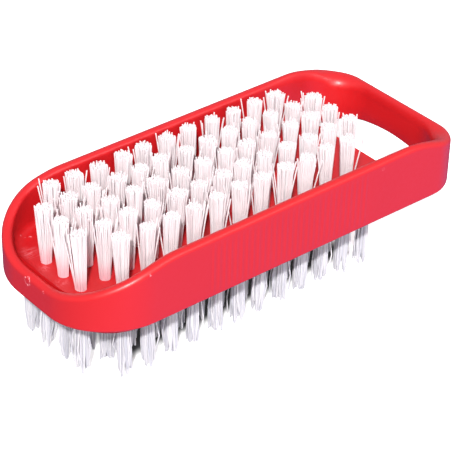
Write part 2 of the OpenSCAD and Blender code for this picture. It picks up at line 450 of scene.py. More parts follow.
@dataclass(frozen=True)
class WhiteFloor:
    """Plain white floor under the brush, which fades into the background.

    The eye sees it overexposed, white to the edge. A dark strip under the brush is painted
    shadow, which stands for the shadow there and throws little light back between the tufts. For
    glossy faces it glows with a painted bluish reflection, stronger in front of the brush than
    beside its nose or behind it.

    Attributes:
        colour: Its own colour.
        dim_colour: What it throws back on the brush.
        painted_shadow_colour: Its colour in the strip under the brush, a painted shadow.
        sheen_colour: Colour of the painted reflection that glossy faces see in it.
        sheen: Strength of that painted reflection in front of the brush.
        side_sheen: Strength of the painted reflection elsewhere; behind the brush it stands for
            shade.
        sheen_x: Places along the brush where the stronger sheen starts and is full, in metres.
        sheen_y: The same across the brush.
        lift: Light added outside the painted shadow strip, for the eye.
        painted_shadow_lift: Light added inside the painted shadow strip, for the eye.
        shadow_strip_centre: Middle of the painted shadow strip, in metres.
        shadow_strip_reach: Half of its length and width, in metres.
        shadow_strip_fade: Half of the width of its soft edge, in metres.
    """

    colour: str = "#fafafa"
    dim_colour: str = "#b0b0b4"
    painted_shadow_colour: str = "#302f34"
    sheen_colour: str = "#adadff"
    sheen: float = 1.2
    side_sheen: float = 0.35
    sheen_x: Pair = (-0.085, -0.04)
    sheen_y: Pair = (0.0, -0.03)
    lift: float = 0.6
    painted_shadow_lift: float = 0.02
    shadow_strip_centre: Point = (-0.00125, -0.0005, 0.0)
    shadow_strip_reach: Point = (0.02975, 0.0073, 0.0)
    shadow_strip_fade: float = 0.002

    def clear_of_painted_shadow(self, tree: bpy.types.NodeTree,
                       place: bpy.types.NodeSocket) -> bpy.types.NodeSocket:
        """Draw the strip of painted shadow under the brush as a mask.

        Args:
            tree: Material's node tree.
            place: Object coordinates, in metres.

        Returns:
            A socket from 0 in the strip to 1 outside it.
        """
        centred = add_node(tree, "ShaderNodeVectorMath", {"operation": "SUBTRACT"},
                           {0: place, 1: self.shadow_strip_centre})
        folded = add_node(tree, "ShaderNodeVectorMath", {"operation": "ABSOLUTE"},
                          {0: centred.outputs[0]})
        beyond = add_node(tree, "ShaderNodeVectorMath", {"operation": "SUBTRACT"},
                          {0: folded.outputs[0], 1: self.shadow_strip_reach})
        apart = add_node(tree, "ShaderNodeSeparateXYZ", inputs={0: beyond.outputs[0]})
        outside = add_node(tree, "ShaderNodeMath", {"operation": "MAXIMUM"},
                           {0: apart.outputs["X"], 1: apart.outputs["Y"]})
        clear = add_node(tree, "ShaderNodeMapRange", {"interpolation_type": "SMOOTHSTEP"}, {
            "Value": outside.outputs[0], "From Min": -self.shadow_strip_fade,
            "From Max": self.shadow_strip_fade})
        return clear.outputs[0]

    def sheen_shader(self, tree: bpy.types.NodeTree,
                     place: bpy.types.NodeSocket) -> bpy.types.NodeSocket:
        """Draw the painted reflection that glossy faces see in the floor.

        Args:
            tree: Material's node tree.
            place: Object coordinates, in metres.

        Returns:
            The shader's socket.
        """
        apart = add_node(tree, "ShaderNodeSeparateXYZ", inputs={0: place})
        shares = {}
        for axis, (start, full) in (("X", self.sheen_x), ("Y", self.sheen_y)):
            share = add_node(tree, "ShaderNodeMapRange", {"interpolation_type": "SMOOTHSTEP"}, {
                "Value": apart.outputs[axis], "From Min": start, "From Max": full})
            shares[axis] = share.outputs[0]
        ahead = add_node(tree, "ShaderNodeMath", {"operation": "MULTIPLY"},
                         {0: shares["X"], 1: shares["Y"]})
        strength = add_node(tree, "ShaderNodeMapRange", inputs={
            "Value": ahead.outputs[0], "To Min": self.side_sheen, "To Max": self.sheen})
        sheen = add_node(tree, "ShaderNodeEmission", inputs={
            "Color": linear(self.sheen_colour), "Strength": strength.outputs[0]})
        return sheen.outputs[0]

    def build(self) -> bpy.types.Material:
        """Build the material.

        Returns:
            The material.
        """
        material, tree = new_material("table_white")
        path = add_node(tree, "ShaderNodeLightPath")
        place = add_node(tree, "ShaderNodeTexCoord").outputs["Object"]
        clear = self.clear_of_painted_shadow(tree, place)
        seen = add_node(tree, "ShaderNodeMix", {"data_type": "RGBA"}, {
            "Factor": path.outputs["Is Camera Ray"], "A": linear(self.dim_colour),
            "B": linear(self.colour)})
        # Painted shadow: in the strip under the brush the floor takes a dark colour for every ray.
        tone = add_node(tree, "ShaderNodeMix", {"data_type": "RGBA"}, {
            "Factor": clear, "A": linear(self.painted_shadow_colour), "B": seen.outputs["Result"]})
        # Inside the painted shadow strip the eye sees almost no added light.
        added = add_node(tree, "ShaderNodeMapRange", inputs={
            "Value": clear, "To Min": self.painted_shadow_lift, "To Max": self.lift})
        lift = add_node(tree, "ShaderNodeMath", {"operation": "MULTIPLY"},
                        {0: path.outputs["Is Camera Ray"], 1: added.outputs[0]})
        matt = add_node(tree, "ShaderNodeBsdfDiffuse", inputs={"Color": tone.outputs["Result"]})
        glow = add_node(tree, "ShaderNodeEmission",
                        inputs={"Color": linear(WHITE), "Strength": lift.outputs[0]})
        both = add_node(tree, "ShaderNodeAddShader",
                        inputs={0: matt.outputs[0], 1: glow.outputs[0]})
        # Painted reflection: glossy rays see a bluish glow in place of the floor.
        surface = add_node(tree, "ShaderNodeMixShader", inputs={
            0: path.outputs["Is Glossy Ray"], 1: both.outputs[0],
            2: self.sheen_shader(tree, place)})
        add_node(tree, "ShaderNodeOutputMaterial", inputs={"Surface": surface.outputs[0]})
        return material


@dataclass(frozen=True)
class Station:
    """One place on the outline of the band.

    Attributes:
        point: Place of the outer face, across the brush.
        normal: Outward direction there.
        low: Height of the lower edge.
        high: Height of the rim.
    """

    point: Pair
    normal: Pair
    low: float
    high: float

    def place(self, inset: float, z: float) -> Point:
        """Return the point a distance inward from the outer face, at a height."""
        return (self.point[0] - inset * self.normal[0], self.point[1] - inset * self.normal[1], z)


@dataclass(frozen=True)
class BrushSizes:
    """Sizes that the moulding and the tufts share, in millimetres.

    Attributes:
        body_len: Length of the moulding.
        body_w: Width of the moulding, without its ribs.
        wall_t: Thickness of the band.
        deck_t: Thickness of the deck, with the pad under it.
        plate_t: Thickness of the deck beside the pad.
        pad_inset: Distance from the band to the pad.
        nose_r: Radius of the nose's corners, seen from above.
        loop_r: Radius of the loop's outer corners, seen from above.
        slot_len: Length of the opening.
        tuft_h: Length of an upper tuft.
        low_tuft_h: Length of a lower tuft.
        end_margin: Distance from each end of the deck to the nearest place for a tuft.
        side_margin: Distance from the band to the outer rows.
        bore_d: Width of a tuft's bore.
        bore_depth: Depth of a tuft's bore.
        rows: Number of rows.
        cols: Number of places in a row.
    """

    body_len: float = 96.0
    body_w: float = 39.74
    wall_t: float = 2.2
    deck_t: float = 6.0
    plate_t: float = 2.4
    pad_inset: float = 1.6
    nose_r: float = 14.4
    loop_r: float = 7.5
    slot_len: float = 10.5
    tuft_h: float = 12.8
    low_tuft_h: float = 14.2
    end_margin: float = 7.45
    side_margin: float = 6.27
    bore_d: float = 2.2
    bore_depth: float = 2.6
    rows: int = 5
    cols: int = 13

    @property
    def deck_bottom(self) -> float:
        """Height of the deck's underside."""
        return self.low_tuft_h

    @property
    def deck_top(self) -> float:
        """Height of the deck's upper face."""
        return self.low_tuft_h + self.deck_t

    @property
    def nose_x(self) -> float:
        """Place of the nose."""
        return -self.body_len / 2

    @property
    def loop_x(self) -> float:
        """Place of the outside of the loop."""
        return self.body_len / 2

    @property
    def deck_end_x(self) -> float:
        """Place where the deck ends and the opening starts."""
        return self.loop_x - self.wall_t - self.slot_len

    @property
    def side_y(self) -> float:
        """Half of the width."""
        return self.body_w / 2

    def tuft_places(self, side: Side, row: int) -> list[Pair]:
        """Set out the tufts of one row.

        The upper field leaves its four corners empty, and the lower one two of them.

        Args:
            side: Face of the deck.
            row: Row, counted from 1 at the far side.

        Returns:
            Places across the brush.
        """
        first = self.nose_x + self.end_margin
        last = self.deck_end_x - self.end_margin
        pitch_x = (last - first) / (self.cols - 1)
        pitch_y = 2 * (self.side_y - self.wall_t - self.side_margin) / (self.rows - 1)
        y = ((self.rows + 1) / 2 - row) * pitch_y
        upper = side is Side.TOP
        skip_first = row == self.rows or (upper and row == 1)
        skip_last = row == 1 or (upper and row == self.rows)
        cols = range(int(skip_first), self.cols - int(skip_last))
        return [(first + col * pitch_x, y) for col in cols]


@dataclass(frozen=True)
class Steps:
    """Numbers of steps in the moulding's skin.

    Attributes:
        loop_flat: Half of the straight run across the loop.
        loop_turn: Each corner of the loop.
        nose_flat: Half of the straight run across the nose.
        nose_turn: Each corner of the nose.
        opening: Side of the band, beside the opening.
        before_ribs: Side of the band, from the opening to the ribs.
        after_ribs: Side of the band, from the ribs to the nose.
        rib: Each rib and its gap.
        skirt: Each half of the rounded lower edge.
        face: Outer face, from the lower edge to the rim.
        rim_out: Outer half of the rim.
        rim_in: Inner half of the rim.
        wall: Inner face beside the opening.
        cove: Cove between band and deck.
        bore: Way round a bore.
    """

    loop_flat: int = 20
    loop_turn: int = 28
    nose_flat: int = 14
    nose_turn: int = 44
    opening: int = 5
    before_ribs: int = 16
    after_ribs: int = 14
    rib: int = 8
    skirt: int = 5
    face: int = 12
    rim_out: int = 8
    rim_in: int = 10
    wall: int = 6
    cove: int = 9
    bore: int = 20


@dataclass
class Moulding:
    """The one-piece body: deck, band, grip ribs and loop, as one closed skin.

    Attributes:
        sizes: Sizes shared with the tufts.
        rim_h: Height of the rim over the deck, along the sides.
        nose_h: Height of the rim over the deck, at the nose.
        loop_h: Height of the rim over the deck, at the loop.
        skirt_h: Depth of the lower edge under the top of the deck, at mid length.
        skirt_lean: Growth of that depth for each millimetre towards the loop.
        nose_drop: Further depth of the lower edge at the nose.
        nose_drop_flat: Distance from the middle of the nose over which it stays.
        nose_drop_run: Distance over which it is lost.
        loop_skirt_h: Depth of the lower edge under the top of the deck, at the loop.
        loop_swell: Further thickness of the band at the foot of the loop.
        corner_r: Radius of the loop's inner corners, seen from above.
        swell_from: Place along the brush where the band starts to thicken.
        swell_run: Distance over which it thickens.
        nose_flat: Distance from the middle of the nose over which the rim stays low.
        nose_run: Distance over which the rim climbs from there.
        loop_run: Distance over which the rim falls to the loop.
        arch_run: Distance from the middle of the loop over which the lower edge comes down.
        rim_out_r: Radius of the rim's outer half.
        rim_in_r: Radius of the rim's inner half.
        rim_slope: Further height of the rim's inner half, at the loop.
        skirt_r: Radius of the lower edge.
        cove_r: Radius between band and deck.
        nose_cove_r: Radius between band and deck, at the nose.
        nose_cove_run: Distance over which the one becomes the other.
        wall_shares: Places down the inner face, as shares of its height.
        rib_count: Number of ribs on each side.
        rib_pitch: Distance from rib to rib.
        rib_w: Width of a rib.
        rib_h: Height of a rib over the face.
        rib_fade: Distance over which a rib's ends run out.
        rib_gap: Distance from a rib's ends to the rounded edges.
        support: Distance from a rounded edge to the points that keep its neighbour flat.
        crease_deg: Edges that turn more than this are drawn sharp.
        steps: Numbers of steps in the skin.
        points: Points of the skin.
        faces: Faces of the skin.
    """

    sizes: BrushSizes
    rim_h: float = 10.4
    nose_h: float = 2.3
    loop_h: float = 7.3
    skirt_h: float = 3.45
    skirt_lean: float = 0.009
    nose_drop: float = 0.7
    nose_drop_flat: float = 4.0
    nose_drop_run: float = 18.0
    loop_skirt_h: float = 0.3
    loop_swell: float = 0.4
    corner_r: float = 10.0
    swell_from: float = 22.0
    swell_run: float = 12.0
    nose_flat: float = 2.5
    nose_run: float = 32.0
    loop_run: float = 16.0
    arch_run: float = 26.0
    rim_out_r: float = 1.1
    rim_in_r: float = 1.0
    rim_slope: float = 1.6
    skirt_r: float = 0.5
    cove_r: float = 1.2
    nose_cove_r: float = 2.6
    nose_cove_run: float = 14.0
    wall_shares: tuple[float, ...] = (0.04, 0.3, 0.65, 1.0)
    rib_count: int = 29
    rib_pitch: float = 1.4
    rib_w: float = 0.8
    rib_h: float = 0.08
    rib_fade: float = 1.2
    rib_gap: float = 0.4
    support: float = 0.12
    crease_deg: float = 35.0
    steps: Steps = Steps()
    points: list[Point] = field(default_factory=list)
    faces: list[tuple[int, ...]] = field(default_factory=list)

    def bend(self, radius: float) -> float:
        """Return the distance along the outline from an end's middle to the side's start."""
        return self.sizes.side_y - radius + radius * math.pi / 2

    def station(self, end: int, side: int, d: float) -> Station:
        """Set out one station of the band.

        Args:
            end: 1 for the loop, -1 for the nose.
            side: 1 for the far side, -1 for the near side.
            d: Distance along the outline from the middle of that end.

        Returns:
            The station, with its heights.
        """
        s = self.sizes
        radius = s.loop_r if end > 0 else s.nose_r
        flat = s.side_y - radius
        turn = min(math.pi / 2, max(0.0, (d - flat) / radius))
        beyond = max(0.0, d - self.bend(radius))
        inward = radius * (1 - math.cos(turn)) + beyond
        across = min(d, flat) + radius * math.sin(turn)
        point = (end * (s.loop_x - inward), side * across)
        normal = (end * math.cos(turn), side * math.sin(turn))
        from_loop, from_nose = (d, math.inf) if end > 0 else (math.inf, d)
        if beyond > 0:
            from_loop = self.bend(s.loop_r) + s.loop_x - point[0] - s.loop_r
            from_nose = self.bend(s.nose_r) + point[0] - s.nose_x - s.nose_r
        climb = smooth((from_nose - self.nose_flat) / self.nose_run)
        fall = smooth((s.loop_x - point[0]) / self.loop_run)
        arch = smooth(from_loop / self.arch_run)
        lost = smooth((from_nose - self.nose_drop_flat) / self.nose_drop_run)
        high = s.deck_top + self.rim_h - (self.rim_h - self.nose_h) * (1 - climb)
        high -= (self.rim_h - self.loop_h) * (1 - fall)
        low = s.deck_top - mix(self.loop_skirt_h, self.skirt_h + self.skirt_lean * point[0], arch)
        low -= self.nose_drop * (1 - lost)
        return Station(point, normal, low, high)

    def loop_distances(self) -> list[float]:
        """Set out the half of a side that starts at the loop and ends with the ribs.

        Returns:
            Distances along the outline from the middle of the loop.
        """
        s, steps = self.sizes, self.steps
        flat, bend = s.side_y - s.loop_r, self.bend(s.loop_r)
        rib_reach = self.rib_pitch * self.rib_count / 2
        rib_steps = steps.rib * self.rib_count
        deck_end = bend + s.loop_x - s.loop_r - s.deck_end_x
        ribs = deck_end + s.deck_end_x - rib_reach
        ds = [flat * i / steps.loop_flat for i in range(steps.loop_flat)]
        ds += [flat] + spaced(flat, bend, steps.loop_turn)
        ds += spaced(bend, deck_end, steps.opening) + spaced(deck_end, ribs, steps.before_ribs)
        return ds + [ribs + 2 * rib_reach * i / rib_steps for i in range(1, rib_steps + 1)]

    def nose_distances(self) -> list[float]:
        """Set out the half of a side that starts at the nose and ends before the ribs.

        Returns:
            Distances along the outline from the middle of the nose.
        """
        s, steps = self.sizes, self.steps
        flat, bend = s.side_y - s.nose_r, self.bend(s.nose_r)
        ribs = bend + s.loop_x - s.nose_r - self.rib_pitch * self.rib_count / 2
        ds = [flat * i / steps.nose_flat for i in range(steps.nose_flat)]
        ds += [flat] + spaced(flat, bend, steps.nose_turn)
        return ds + spaced(bend, ribs, steps.after_ribs)[:-1]

    def outline(self) -> list[Station]:
        """Set out the band.

        Returns:
            Stations of the whole outline, from the middle of the loop over the far side.
        """
        half = [(1, d) for d in self.loop_distances()]
        half += [(-1, d) for d in reversed(self.nose_distances())]
        far = [self.station(end, 1, d) for end, d in half]
        near = [self.station(end, -1, d) for end, d in reversed(half) if d > 0]
        return far + near

    def rib(self, station: Station, z: float) -> float:
        """Find how far a rib stands out at a place on the side of the band.

        Args:
            station: Place on the outline.
            z: Height.

        Returns:
            The distance, 0 between ribs and away from them.
        """
        if abs(station.normal[0]) > CLOSE:
            return 0.0
        reach = self.rib_pitch * (self.rib_count - 1) / 2
        x = station.point[0]
        if abs(x) > reach + self.rib_w:
            return 0.0
        off = abs((x + reach + self.rib_pitch / 2) % self.rib_pitch - self.rib_pitch / 2)
        if off >= self.rib_w / 2:
            return 0.0
        crown = math.cos(math.pi * off / self.rib_w)
        top = station.high - self.rim_out_r - self.rib_gap
        foot = station.low + self.skirt_r + self.rib_gap
        upper, lower = smooth((top - z) / self.rib_fade), smooth((z - foot) / self.rib_fade)
        return self.rib_h * crown * upper * lower

    @staticmethod
    def quarter(centre: Pair, radius: float, start: float, steps: int,
                tall: float | None = None) -> list[Pair]:
        """Draw a quarter turn of a section, clockwise.

        Args:
            centre: Middle of the turn, as inset and height.
            radius: Radius of the turn.
            start: Angle at which it starts, in degrees.
            steps: Number of steps.
            tall: Upright radius, where it isn't the same.

        Returns:
            The points, as inset and height.
        """
        upright = radius if tall is None else tall
        angles = [math.radians(start - 90 * i / steps) for i in range(steps + 1)]
        return [(centre[0] + radius * math.cos(a), centre[1] + upright * math.sin(a))
                for a in angles]

    def loop_share(self, station: Station) -> float:
        """Return how far a station belongs to the loop, from 0 to 1."""
        return smooth((station.point[0] - self.swell_from) / self.swell_run)

    def wall(self, station: Station) -> float:
        """Find the band's thickness at its foot, which grows in the loop's wide inner corners.

        Args:
            station: Place on the outline.

        Returns:
            The thickness.
        """
        s, (nx, ny) = self.sizes, station.normal
        plain = s.wall_t + self.loop_swell * self.loop_share(station)
        across = station.point[0] - (s.loop_x - s.wall_t - self.corner_r)
        aside = abs(station.point[1]) - (s.side_y - s.wall_t - self.corner_r)
        if min(across, aside) <= 0:
            return plain
        along = across * nx + aside * abs(ny)
        chord = math.sqrt(along ** 2 - across ** 2 - aside ** 2 + self.corner_r ** 2)
        return along - chord + plain - s.wall_t

    def cove(self, station: Station) -> float:
        """Return the radius between the band and the deck, which grows towards the nose."""
        share = smooth((station.point[0] - self.sizes.nose_x) / self.nose_cove_run)
        return mix(self.nose_cove_r, self.cove_r, share)

    def outer_rows(self, station: Station) -> list[Point]:
        """Draw the section from the foot, over the outer face and rim, to the cove's top.

        Args:
            station: Place on the outline.

        Returns:
            The points.
        """
        s, steps = self.sizes, self.steps
        foot, head = station.low + self.skirt_r, station.high - self.rim_out_r
        first, last = foot + self.support, head - self.support
        rows = self.quarter((self.skirt_r, foot), self.skirt_r, 270, steps.skirt)
        rows.append((0.0, first))
        rows += [(0.0, z) for z in spaced(first, last, steps.face)[:-1]]
        rows.append((0.0, last))
        rows += self.quarter((self.rim_out_r, head), self.rim_out_r, 180, steps.rim_out)
        wall, share = self.wall(station), self.loop_share(station)
        thick = wall - self.loop_swell * share
        wide, tall = thick - s.wall_t + self.rim_in_r, self.rim_in_r + self.rim_slope * share
        start, stop = station.high - tall, s.deck_top + self.cove(station)
        rows += self.quarter((thick - wide, start), wide, 90, steps.rim_in, tall)
        rows += [(mix(thick, wall, t), mix(start, stop, t)) for t in self.wall_shares]
        return [station.place(inset - self.rib(station, z), z) for inset, z in rows]

    def wall_rows(self, station: Station) -> list[Point]:
        """Draw the inner face beside the opening, below the cove's top.

        Args:
            station: Place on the outline.

        Returns:
            The points.
        """
        s = self.sizes
        top, seat = s.deck_top + self.cove_r, s.deck_top - s.plate_t
        edge = s.deck_top - self.skirt_h + self.skirt_r
        share = (top - seat) / (top - edge)
        last = mix(top, station.low + self.skirt_r, share)
        return [station.place(self.wall(station), z) for z in spaced(top, last, self.steps.wall)]

    def foot_rows(self, station: Station) -> list[Point]:
        """Draw the last of the section, from the inner face round to the foot.

        Args:
            station: Place on the outline.

        Returns:
            The points.
        """
        middle = (self.wall(station) - self.skirt_r, station.low + self.skirt_r)
        rows = self.quarter(middle, self.skirt_r, 0, self.steps.skirt)
        return [station.place(inset, z) for inset, z in rows]

    def cove_rows(self, station: Station) -> list[Point]:
        """Draw the cove and the first of the deck, after the cove's top.

        Args:
            station: Place on the outline.

        Returns:
            The points.
        """
        count, deck_top = self.steps.cove, self.sizes.deck_top
        thick, radius = self.wall(station), self.cove(station)
        middle = (thick + radius, deck_top + radius)
        angles = [math.radians(180 + 90 * i / count) for i in range(1, count + 1)]
        rows = [(middle[0] + radius * math.cos(a), middle[1] + radius * math.sin(a))
                for a in angles]
        rows.append((thick + radius + self.support, deck_top))
        return [station.place(inset, z) for inset, z in rows]

    def pad_rows(self, station: Station) -> list[Point]:
        """Draw the plate's underside and the side of the pad, after the inner face.

        Args:
            station: Place on the outline.

        Returns:
            The points.
        """
        s = self.sizes
        inset, seat = self.wall(station) + s.pad_inset, s.deck_top - s.plate_t
        return [station.place(inset, seat), station.place(inset, s.deck_bottom)]

    def add_points(self, points: Iterable[Point]) -> list[int]:
        """Store points.

        Args:
            points: The points.

        Returns:
            Their numbers.
        """
        start = len(self.points)
        self.points.extend(points)
        return list(range(start, len(self.points)))

    def add_strip(self, columns: list[list[int]], closed: bool, flip: bool = False) -> None:
        """Join neighbouring columns of points with quads.

        Args:
            columns: Point numbers, one column for each station.
            closed: Whether the last column joins the first.
            flip: Whether the faces are turned over.
        """
        count = len(columns) if closed else len(columns) - 1
        for i in range(count):
            a, b = columns[i], columns[(i + 1) % len(columns)]
            for j in range(len(a) - 1):
                quad = (a[j], b[j], b[j + 1], a[j + 1])
                self.faces.append(quad[::-1] if flip else quad)

    def add_pierced(self, border: list[int], side: Side) -> None:
        """Fill a face of the deck round its bores, and add the bores.

        Args:
            border: Point numbers round the face.
            side: Which face it is.
        """
        s, sides = self.sizes, self.steps.bore
        up = side is Side.TOP
        z = s.deck_top if up else s.deck_bottom
        floor = z - s.bore_depth if up else z + s.bore_depth
        radius = s.bore_d / 2
        angles = [2 * math.pi * i / sides for i in range(sides)]
        loops = [border]
        for row in range(1, s.rows + 1):
            for x, y in s.tuft_places(side, row):
                ring = [(x + radius * math.cos(a), y + radius * math.sin(a)) for a in angles]
                mouth = self.add_points((px, py, z) for px, py in ring)
                end = self.add_points((px, py, floor) for px, py in ring)
                loops.append(mouth)
                for i in range(sides):
                    j = (i + 1) % sides
                    quad = (mouth[i], mouth[j], end[j], end[i])
                    self.faces.append(quad if up else quad[::-1])
                self.faces.append(tuple(end) if up else tuple(reversed(end)))
        self.fill(loops, Vector((0, 0, 1 if up else -1)))

    def fill(self, loops: list[list[int]], facing: Vector) -> None:
        """Fill a flat face that may have holes.

        Args:
            loops: Point numbers of its border and of each hole.
            facing: Direction that the face looks in.
        """
        work = bmesh.new()
        lookup = {}
        edges = []
        for loop in loops:
            verts = []
            for number in loop:
                vert = work.verts.new(self.points[number])
                lookup[vert] = number
                verts.append(vert)
            edges += [work.edges.new((a, b)) for a, b in zip(verts, verts[1:] + verts[:1])]
        made = bmesh.ops.triangle_fill(work, use_beauty=True, use_dissolve=False, edges=edges,
                                       normal=facing)
        for item in made["geom"]:
            if isinstance(item, bmesh.types.BMFace):
                item.normal_update()
                numbers = tuple(lookup[v] for v in item.verts)
                self.faces.append(numbers if item.normal.dot(facing) > 0 else numbers[::-1])
        work.free()

    def add_skin(self) -> None:
        """Add every point and face of the closed skin."""
        s = self.sizes
        stations = self.outline()
        outer = [self.add_points(self.outer_rows(st)) for st in stations]
        foot = [self.add_points(self.foot_rows(st)) for st in stations]
        by_deck = [i for i, st in enumerate(stations) if st.point[0] < s.deck_end_x + CLOSE]
        by_loop = [i for i, st in enumerate(stations) if st.point[0] > s.deck_end_x - CLOSE]
        split = next(k for k, i in enumerate(by_loop) if k and i != by_loop[k - 1] + 1)
        by_loop = by_loop[split:] + by_loop[:split]
        walls = {i: self.add_points(self.wall_rows(stations[i])) for i in by_loop}
        seats = {i: rows[-1] for i, rows in walls.items()}
        for i in by_deck:
            if i not in seats:
                seat = stations[i].place(self.wall(stations[i]), s.deck_top - s.plate_t)
                seats[i] = self.add_points([seat])[0]
        self.add_strip(outer, True)
        self.add_strip([[seats[i]] + foot[i] + [outer[i][0]] for i in range(len(stations))], True)
        self.add_strip([[outer[i][-1]] + walls[i] for i in by_loop], False)
        coves = {i: self.add_points(self.cove_rows(stations[i])) for i in by_deck}
        pads = {i: self.add_points(self.pad_rows(stations[i])) for i in by_deck}
        self.add_strip([[outer[i][-1]] + coves[i] for i in by_deck], False)
        self.add_strip([[seats[i]] + pads[i] for i in by_deck], False, flip=True)
        self.add_pierced([coves[i][-1] for i in by_deck], Side.TOP)
        self.add_pierced([pads[i][-1] for i in by_deck], Side.BOTTOM)
        first, last = by_deck[0], by_deck[-1]
        end = [outer[first][-1]] + coves[first] + coves[last][::-1] + [outer[last][-1]]
        end += walls[last] + pads[last] + pads[first][::-1] + walls[first][::-1]
        self.fill([end], Vector((1, 0, 0)))

    def build(self, material: bpy.types.Material) -> bpy.types.Object:
        """Build the moulding.

        Args:
            material: Its plastic.

        Returns:
            The object.
        """
        self.add_skin()
        made = make_object("moulded_body", self.points, self.faces, material, self.crease_deg)
        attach(made, ROOT)
        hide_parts("body")
        return made


@dataclass(frozen=True)
class TuftShape:
    """What sets one tuft apart from the others.

    Attributes:
        lean: Lean of the whole tuft, at its tip.
        turn: Turn of its filaments about its middle, in radians.
        spread: Factor on its radius at the tip.
        spots: Points that the tips draw together into, each with what it falls short by.
    """

    lean: Pair
    turn: float
    spread: float
    spots: list[Point]


